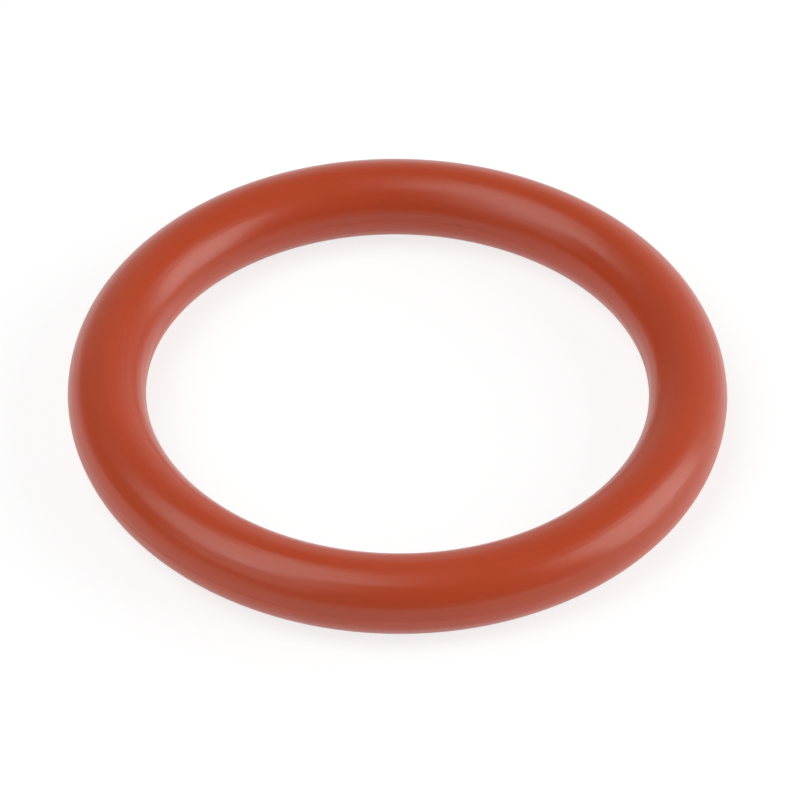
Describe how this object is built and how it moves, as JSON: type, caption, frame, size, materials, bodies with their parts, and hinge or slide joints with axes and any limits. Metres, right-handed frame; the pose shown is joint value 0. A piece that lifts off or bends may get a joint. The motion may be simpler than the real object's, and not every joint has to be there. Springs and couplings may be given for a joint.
{
  "type": "o-ring",
  "caption": "Endless silicone sealing ring of round section, squeezed in a groove to seal a shaft, a bore or a face.",
  "frame": {"origin": "centre of the ring, on its axis and in the plane where the mould parted, half-way up the section", "axes": "+Z along the ring's axis, up as it lies flat; the ring is the same all the way round, so +X and +Y are any two directions across it"},
  "size_m": [0.045, 0.045, 0.0054],
  "materials": {
    "silicone": "satin"
  },
  "bodies": {
    "root": {"o_ring": "silicone"}
  },
  "joints": []
}
